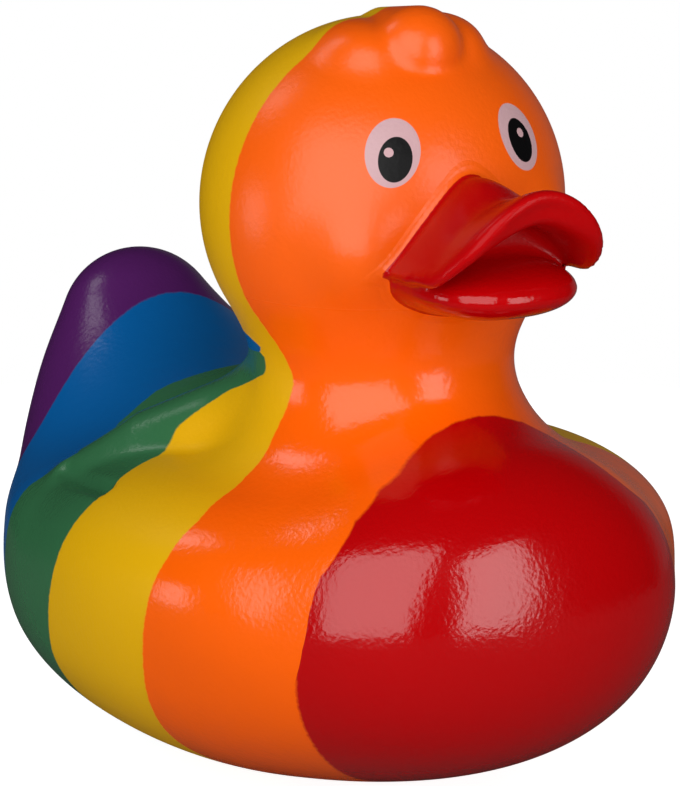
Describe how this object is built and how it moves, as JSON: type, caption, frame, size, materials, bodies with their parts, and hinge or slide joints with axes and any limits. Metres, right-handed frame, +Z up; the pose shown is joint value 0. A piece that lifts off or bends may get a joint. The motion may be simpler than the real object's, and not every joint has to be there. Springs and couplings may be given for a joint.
{
  "type": "rubber duck",
  "caption": "Hollow moulded vinyl bath duck with rainbow sprayed bands, a red bill and painted eyes, on a flat base with a small vent hole.",
  "frame": {"origin": "middle of the duck's overall length and width, on the surface that its base rests on", "axes": "+Z up, the duck looks along -Y, and +X is on its left hand side"},
  "size_m": [0.0632, 0.0938, 0.0807],
  "materials": {
    "painted_vinyl": "satin yellow vinyl with sprayed bands of red, orange, green, blue and violet"
  },
  "bodies": {
    "root": {"duck_shell": "painted_vinyl"}
  },
  "joints": []
}
